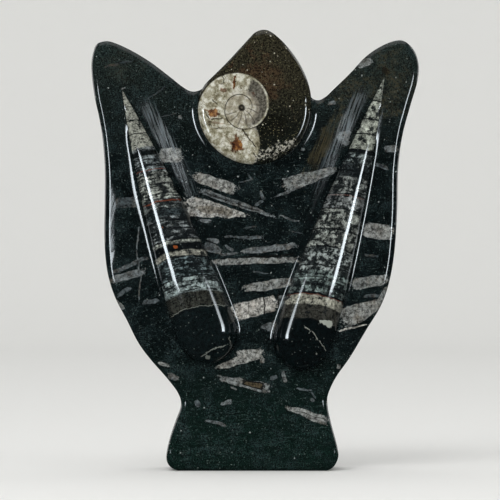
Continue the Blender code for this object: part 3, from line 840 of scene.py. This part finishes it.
def calciteMaterial(side):
    # Grey calcite of a chambered shell, polished: chalky chambers between thin dark walls, soaked with black
    # matrix.
    size, look = cones[side], {**shellLooks["both"], **shellLooks[side]}
    made, add, place = polishedStone("polished" + side.capitalize() + "Orthocone")
    down, across = coneAxes(size)
    fromTip = add("VectorMath", (place, (size["tip"][0], 0, size["tip"][1])), "SUBTRACT")
    along = add("VectorMath", (fromTip, down), "DOT_PRODUCT").outputs["Value"]
    aside = add("VectorMath", (fromTip, across), "DOT_PRODUCT").outputs["Value"]
    square = add("Math", (aside, aside), "MULTIPLY")
    chamber = add("Math", (aside, -look["tilt"], along), "MULTIPLY_ADD")
    chamber = add("Math", (square, -look["bulge"], chamber), "MULTIPLY_ADD")
    minus = add("Math", (chamber, -1), "MULTIPLY")
    flat = add("CombineXYZ", {0: aside, 2: minus})
    spot = wobble(add, wobble(add, flat, 6, 0.5), 1.3, 0.2, 3)
    axes = add("SeparateXYZ", (spot,))
    above, reach, soft = look["above"], look["reach"], look["soft"]
    share = add("Math", (axes.outputs[2], -1 / reach, above / reach), "MULTIPLY_ADD")
    stops = []
    for i, (start, tone, dirt) in enumerate(look["bands"]):
        colour = (*paint(tone)[:3], dirt)
        stops.append((max((start + soft + above) / reach, 0) if i else 0, colour))
        if i + 1 < len(look["bands"]):
            stops.append(((look["bands"][i + 1][0] - soft + above) / reach, colour))
    bands = add("ValToRGB", (share,), stops=stops)

    # chalky grain, then dark matrix in blots and in thin layers along the chamber walls
    chalk = add("TexNoise", {"Vector": place, "Scale": 1 / 1.9, "Detail": 6, "Roughness": 0.78})
    chalkTone = add("MapRange", (chalk, 0.39, 0.61, 0.2, 1.95))
    colour = add("MixRGB", (1, bands, chalkTone), blend_type="MULTIPLY")
    bleached = add("TexNoise", {"Vector": spot, "Scale": 1 / 5.5, "Detail": 3, "Roughness": 0.6})
    bleached = add("MapRange", (bleached, 0.4, 0.6, 0.3, 2.6))
    colour = add("MixRGB", (bands.outputs["Alpha"], colour, bleached), blend_type="MULTIPLY")
    blots = add("TexNoise", {"Vector": spot, "Scale": 1 / 4.5, "Detail": 5, "Roughness": 0.7})
    layered = add("Mapping", {"Vector": spot, "Scale": (8, 8, 1.1)}, vector_type="TEXTURE")
    layers = add("TexNoise", {"Vector": layered, "Scale": 1, "Detail": 3, "Roughness": 0.6})
    soaked = add("Math", (layers, look["layering"], blots), "MULTIPLY_ADD")
    soaked = add("Math", (bands.outputs["Alpha"], 0.25, soaked), "MULTIPLY_ADD")
    level = 0.615 + look["layering"] * 0.5
    dirty = add("MapRange", (soaked, level, level + 0.04, 0, 0.94))
    cracks = together(add, hairlines(add, place, 4, 0.015), 0.7)

    fray = add("MapRange", (chalk, 0.3, 0.7, -0.4, 0.9))
    even = add("MapRange", (chalk, 0.3, 0.7, -0.6, 0.5))
    far = 20     # past both flanks
    walls, redWalls = (
        [(-far, -down, far, -down, width + wider, 0, tone) for down, width, tone in look[kind]]
        for kind, wider in (("lines", 0.35), ("red", 0))
    )
    bent = wobble(add, spot, 1.5, 0.5, 3)
    colour = layOver(
        add, colour, (dirty, "#0b1113"), (cracks, "#14181a"),
        (layMarks(add, spot, even, walls), "#0d1113"),
        (layMarks(add, spot, fray, redWalls), "#5d2c1b"),
        (layMarks(add, spot, fray, look["spots"]), "#9c5228"),
        (layMarks(add, bent, fray, look["veins"]), "#a2a79f"),
        (together(add, crumbs(add, place, 1.5, 0.4), 0.5), "#7d837e"),
    )

    # the low flanks near the slab turn black further down the cone: partly black matrix, partly painted shade
    depth = add("SeparateXYZ", (place,))
    lowFlankMatrixAndShade = add("MapRange", (depth.outputs[1], -18.5, -13))
    downShare = add("MapRange", (along, 45, 90, 0, 0.75))
    colour = layOver(add, colour, (together(add, lowFlankMatrixAndShade, downShare), "#0a1012"))
    rough = add("MapRange", (chalk, 0.3, 0.7, 0.06, 0.12))
    return polish(made, add, colour, rough, place, -math.radians(size["lean"]))


# A logarithmic coil: its outer edge lies "atRight" mm from the centre there and grows by "perTurn" each turn.
goniatite = {
    "centre": (-7.6, 205.6), "atRight": 15.4, "perTurn": 2.65, "mouth": 0.866, "mouthCurve": 0.0000815,
    "septa": 26, "septaFrom": -0.42, "septaTo": 0.02,
    "cream": [(0.36, "#57523f"), (0.43, "#85806b"), (0.5, "#a09d8a"), (0.59, "#d0cfc4")],
    "greyStone": [(0.38, "#2c2922"), (0.5, "#545149"), (0.62, "#716e66")],
    "rust": [(0.4, "#2a1207"), (0.5, "#5a2f11"), (0.6, "#946426")],
    "stains": [
        (-13.2, 184.4, -6.8, 184.2, 5.6, 0, 0.95), (-10.4, 189, -9.6, 181, 3, 0, 0.9),
        (-26.4, 202.4, -20.8, 202.7, 4.6, 0, 0.9), (-20, 216, -16, 215.2, 2.2, 0, 0.7),
        (-11.3, 224, -12.2, 216.2, 1.3, 0, 0.95), (-1.6, 214.4, -0.2, 212.4, 1.8, 0, 0.55),
        (-27.2, 197.8, -17, 196.2, 1, 0, 0.5), (-19, 190.5, -14.5, 188, 0.6, 0, 0.4),
        (-14.6, 186, -6.2, 182, 1.8, 0, 0.8), (-13.2, 180.6, -7.4, 187.6, 2, 0, 0.8),
        (-11.2, 180, -10.4, 191.4, 1.6, 0, 0.8), (-29, 204.4, -19.4, 201.8, 1, 0, 0.7),
        (-25.6, 199.6, -22, 205.6, 1.6, 0, 0.7),
    ],
    "fissures": [
        (-19, 223.2, -17.3, 221.6, 0.7, 0, 0.8), (-17.3, 221.6, -17.8, 219.4, 0.7, 0, 0.8),
        (-17.8, 219.4, -19.6, 218.8, 0.6, 0, 0.6), (-24.7, 223, -26.6, 219.6, 0.6, 0, 0.5),
        (-24.7, 210.4, -21.6, 207.4, 0.7, 0, 0.8), (-29.4, 204.3, -27.1, 201.7, 0.7, 0, 0.7),
        (-27.1, 201.7, -25.2, 199.2, 0.8, 0, 0.9), (-25.2, 199.2, -18.6, 199.4, 0.8, 0, 0.8),
        (-26.6, 196.7, -23.7, 194.3, 0.7, 0, 0.7), (-23.7, 194.3, -18.6, 194, 0.7, 0, 0.8),
        (-7.6, 193.8, -2.4, 186.7, 0.8, 0, 0.9), (-2.4, 186.7, 0.6, 183.2, 0.7, 0, 0.9),
        (-1, 180.1, 1.2, 177.2, 0.8, 0, 0.8),
    ],
    "reddish": [(-5, 234, 12, 208, 24, 0, 0.45)],
    "greyFrom": -0.14, "greyTo": 0.19, "greyPatches": [(-4.6, 200, -1.4, 194.8, 4.4, 0.2, 0.6)],
    "rimCrumbs": [(-3, 175.6, 25, 187.5, 5.5, 0, 1), (2, 179, 14, 179.5, 5, 0, 0.6)],
    "darkStone": [(3.5, 196, 18, 195, 12, 0, 0.8), (0.5, 181, 4.5, 192, 4, 0, 0.7)],
}


def goniatiteMaterial():
    # Brown fossil limestone with a goniatite, polished: a cream coil with rusty stains in olive-brown stone.
    look = goniatite
    made, add, place = polishedStone("polishedGoniatiteLimestone")
    bent = wobble(add, place, 3, 0.14)
    middle = (look["centre"][0], 0, look["centre"][1])
    fromMiddle = add("VectorMath", (bent, middle), "SUBTRACT")
    axes = add("SeparateXYZ", (fromMiddle,))
    flat = add("CombineXYZ", {0: axes.outputs[0], 2: axes.outputs[2]})
    radius = add("VectorMath", (flat,), "LENGTH").outputs["Value"]
    angle = add("Math", (axes.outputs[2], axes.outputs[0]), "ARCTAN2")
    signedTurns = add("Math", (angle, 1 / math.tau), "MULTIPLY")
    turns = add("Math", (signedTurns, 1), "FLOORED_MODULO")
    outwards = add("Math", (radius, 1 / look["atRight"]), "MULTIPLY")
    outwards = add("Math", (outwards, look["perTurn"]), "LOGARITHM")
    coil = add("Math", (outwards, turns), "SUBTRACT")
    whorl = add("Math", (coil,), "CEIL")
    grown = add("Math", (turns, whorl), "ADD")
    bow = add("Math", (radius, radius), "MULTIPLY")
    mouth = add("Math", (bow, look["mouthCurve"], -look["mouth"]), "MULTIPLY_ADD")
    toMouth = add("Math", (grown, mouth), "ADD")
    inShell = add("MapRange", (toMouth, 0.004, -0.004))
    acrossWhorl = add("Math", (coil,), "FRACT")
    toOuter = add("Math", (1, acrossWhorl), "SUBTRACT")
    nearer = add("Math", (toOuter, acrossWhorl), "MINIMUM")
    seam = add("MapRange", (together(add, nearer, radius), 0.42, 0.2, 0, 0.85))
    seam = together(add, seam, add("MapRange", (radius, 4.5, 6.5, 0.15)))

    # cream shell: flowing fine patches and hair cracks, a grey stretch, chamber walls and rusty stains
    drawn = wobble(add, place, 5, 0.5)
    mottle = add("TexNoise", {"Vector": drawn, "Scale": 1 / 3.4, "Detail": 7, "Roughness": 0.68})
    shell = add("ValToRGB", (mottle,), stops=look["cream"])
    cracks = hairlines(add, drawn, 5.5, 0.012)
    fray = add("MapRange", (mottle, 0.3, 0.7, -0.5, 0.8))
    ends = add("Math", (fray, 0.02, signedTurns), "MULTIPLY_ADD")
    grey = together(
        add,
        add("MapRange", (ends, look["greyFrom"] - 0.03, look["greyFrom"])),
        add("MapRange", (ends, look["greyTo"] + 0.02, look["greyTo"])),
        add("MapRange", (radius, 7.6, 8.6)),
        add("MapRange", (together(add, toOuter, radius), 0.8, 1.5)),
    )
    patches = layMarks(add, wobble(add, place, 1.5, 0.42, 3), fray, look["greyPatches"])
    grey = add("Math", (grey, patches), "MAXIMUM")
    fine = add("TexNoise", {"Vector": place, "Scale": 1 / 1.3, "Detail": 5, "Roughness": 0.7})
    greyStone = add("ValToRGB", (fine,), stops=look["greyStone"])
    inInner = add("MapRange", (radius, 10.6, 9.6))
    walls = add("Math", (turns, look["septa"]), "MULTIPLY")
    walls = add("Math", (radius, 0.14, walls), "MULTIPLY_ADD")
    walls = add("Math", (walls, 1), "PINGPONG")
    walls = together(
        add,
        add("MapRange", (walls, 0.34, 0.1, 0, 0.75)),
        add("MapRange", (signedTurns, look["septaFrom"] - 0.06, look["septaFrom"])),
        add("MapRange", (signedTurns, look["septaTo"] + 0.06, look["septaTo"])),
        inInner,
    )
    stains = layMarks(add, wobble(add, place, 1.6, 0.6, 4), fray, look["stains"])
    rust = add("ValToRGB", (mottle,), stops=look["rust"])
    fissures = layMarks(add, wobble(add, place, 2.4, 0.6, 4), fray, look["fissures"])
    hub = add("MapRange", (radius, 2.3, 1.6, 0, 0.95))
    pip = add("MapRange", (radius, 0.75, 0.35, 0, 0.5))
    shell = layOver(
        add, shell, (cracks, "#5b5343"), (grey, greyStone), (together(add, inInner, 0.35), "#a39c8e"),
        (walls, "#4b463d"), (seam, "#2f2b24"), (stains, rust), (fissures, "#2b2519"),
        (hub, "#17140f"), (pip, "#6d695c"),
    )

    # olive-brown stone: reddish towards the point, dark below the coil, bright crumbs and a whitish lower rim
    grain = add("TexNoise", {"Vector": place, "Scale": 1 / 1.1, "Detail": 5, "Roughness": 0.8})
    height = add("SeparateXYZ", (place,)).outputs[2]
    high = add("MapRange", (height, 195, 222))
    stone = add("MixRGB", (high, "#121410", "#242219"))
    drift = add("TexNoise", {"Vector": place, "Scale": 1 / 6, "Detail": 5, "Roughness": 0.65})
    cloudy = add("MapRange", (drift, 0.38, 0.62, -0.6, 3))
    reddish = layMarks(add, place, cloudy, look["reddish"], 0.95)
    loose = wobble(add, place, 4, 1.2)
    darkStone = layMarks(add, loose, fray, look["darkStone"])
    stone = layOver(add, stone, (reddish, "#3b291c"), (darkStone, "#0f0f0a"))
    grainTone = add("MapRange", (grain, 0.41, 0.6, 0.25, 2.4))
    stone = add("MixRGB", (1, stone, grainTone), blend_type="MULTIPLY")
    crumbly = add("MapRange", (fine, 0.49, 0.56))
    rimCrumbs = together(add, layMarks(add, loose, fray, look["rimCrumbs"]), crumbly)
    colour = layOver(
        add, stone, (rimCrumbs, "#a3a197"), (crumbs(add, bent, 0.75, 0.34), "#5c5943"),
        (crumbs(add, bent, 2.2, 0.6), "#a5a394"), (inShell, shell),
    )
    rough = add("MapRange", (grain, 0.3, 0.7, 0.06, 0.12))
    return polish(made, add, colour, rough, place, 0.3)


# Reflections on the polish come from one upright strip on each side; the soft even light comes from the pale
# surroundings and a large soft fill.
studio = {
    "cameraAt": (-0.00285, -2.4, 0.125), "frameWidth": 0.2847, "framePlaneY": -0.005,
    "strips": {"away": 0.27, "turn": 48, "wide": 0.048, "low": 0.075, "high": {-1: 0.208, 1: 0.216},
               "radiance": {-1: 2.1, 1: 2}, "spread": 54, "tint": (0.86, 0.95, 1)},
    "backCards": {"away": 1.2, "turn": 128, "wide": 0.5, "low": 0.1, "high": 1.1, "radiance": 2},
    "overhead": {"at": (0, 0.2, 1.8), "size": (2.2, 2.2), "radiance": 0.6},
    "fill": {"at": (-0.9, -2.3, 2), "towards": (0, 0, 0.1), "size": (1.5, 1.5), "radiance": 4.8},
    "surroundings": 0.98, "mirrored": (0.02, 0.025, 0.027, 1),     # all round, and as the polish mirrors it
    "coveRadius": 4, "coveHeight": 3.5, "coveBend": 1.2, "coveSteps": (12, 64),
}


def placeCamera():
    data = bpy.data.cameras.new("camera")
    at = Vector(studio["cameraAt"])
    data.sensor_width = 36
    data.lens = data.sensor_width * (studio["framePlaneY"] - at.y) / studio["frameWidth"]
    data.clip_end = 50
    camera = bpy.data.objects.new("camera", data)
    camera.location = at
    camera.rotation_euler = (math.radians(90), 0, 0)
    bpy.context.scene.collection.objects.link(camera)
    bpy.context.scene.camera = camera


def areaLight(name, at, towards, size, radiance, spread=math.pi):
    # a card that is seen only as a reflection
    data = bpy.data.lights.new(name, "AREA")
    data.shape = "RECTANGLE"
    data.size, data.size_y = size
    data.spread = spread
    data.energy = math.pi * size[0] * size[1] * radiance
    light = bpy.data.objects.new(name, data)
    light.location = at
    light.rotation_euler = (Vector(towards) - Vector(at)).to_track_quat("-Z", "Y").to_euler()
    light.visible_camera = False
    light.visible_diffuse = False
    bpy.context.scene.collection.objects.link(light)
    return light


def standingCard(name, sign, card, high, radiance, spread=180):
    # a tall card, turned some degrees from the camera towards the left (-1) or the right (1)
    middle, turn = (card["low"] + high) / 2, math.radians(card["turn"])
    at = (sign * card["away"] * math.sin(turn), -card["away"] * math.cos(turn), middle)
    size = (card["wide"], high - card["low"])
    return areaLight(name, at, (0, 0, middle), size, radiance, math.radians(spread))


def lightStudio():
    strips, backCards = studio["strips"], studio["backCards"]
    for name, sign in (("left", -1), ("right", 1)):
        strip = standingCard(
            name + "Strip", sign, strips, strips["high"][sign], strips["radiance"][sign], strips["spread"],
        )
        strip.data.color = strips["tint"]
        standingCard(name + "BackCard", sign, backCards, backCards["high"], backCards["radiance"])
    fill = studio["fill"]
    soft = areaLight("softFill", fill["at"], fill["towards"], fill["size"], fill["radiance"])
    soft.visible_diffuse = True
    soft.visible_glossy = False
    overhead = studio["overhead"]
    above = Vector(overhead["at"])
    areaLight("overhead", above, above - Vector((0, 0, 1)), overhead["size"], overhead["radiance"])
    world = bpy.data.worlds.new("studio")
    bpy.context.scene.world = world
    world.use_nodes = True
    tree = world.node_tree
    glossy = addNode(tree, "LightPath").outputs["Is Glossy Ray"]
    even = studio["surroundings"]
    colour = addNode(tree, "MixRGB", (glossy, (even, even, even, 1), studio["mirrored"]))
    tree.links.new(colour.outputs[0], tree.nodes["Background"].inputs["Color"])
    bpy.context.scene.view_settings.view_transform = "Standard"
    print("lights")


def buildCove():
    # a round floor that bends up into a wall, behind every view
    bend, radius = studio["coveBend"], studio["coveRadius"]
    bendSteps, roundSteps = studio["coveSteps"]
    profile = []
    for i in range(bendSteps + 1):
        turn = math.pi / 2 * i / bendSteps
        profile.append((radius - bend + bend * math.sin(turn), bend - bend * math.cos(turn)))
    profile.append((radius, studio["coveHeight"]))
    bm = bmesh.new()
    ring = [bm.verts.new((0, 0, 0))] + [bm.verts.new((r, 0, z)) for r, z in profile]
    edges = [bm.edges.new(pair) for pair in zip(ring, ring[1:])]
    bmesh.ops.spin(
        bm, geom=ring + edges, cent=(0, 0, 0), axis=(0, 0, 1), angle=math.tau,
        steps=roundSteps, use_merge=True,
    )
    bmesh.ops.remove_doubles(bm, verts=bm.verts, dist=1e-5)
    bmesh.ops.recalc_face_normals(bm, faces=bm.faces)
    cove = meshObject("cove", bm)
    cove.data.shade_smooth()
    made = bpy.data.materials.new("paleStudioPaint")
    made.use_nodes = True
    shader = made.node_tree.nodes["Principled BSDF"]
    shader.inputs["Base Color"].default_value = paint("#e9e9e7")
    shader.inputs["Roughness"].default_value = 0.9
    shader.inputs["Specular IOR Level"].default_value = 0.1
    cove.data.materials.append(made)
    cove.visible_glossy = False
    print("cove")


placeCamera()
lightStudio()
buildCove()
markGroup()
for side, size in cones.items():
    cone = buildCone(side + "Orthocone", size)
    finishPiece(cone, side + "_orthoceras", calciteMaterial(side))
finishPiece(buildDrop(), "goniatite_teardrop", goniatiteMaterial())
finishPiece(buildSlab(), "fossil_slab", limestoneMaterial())
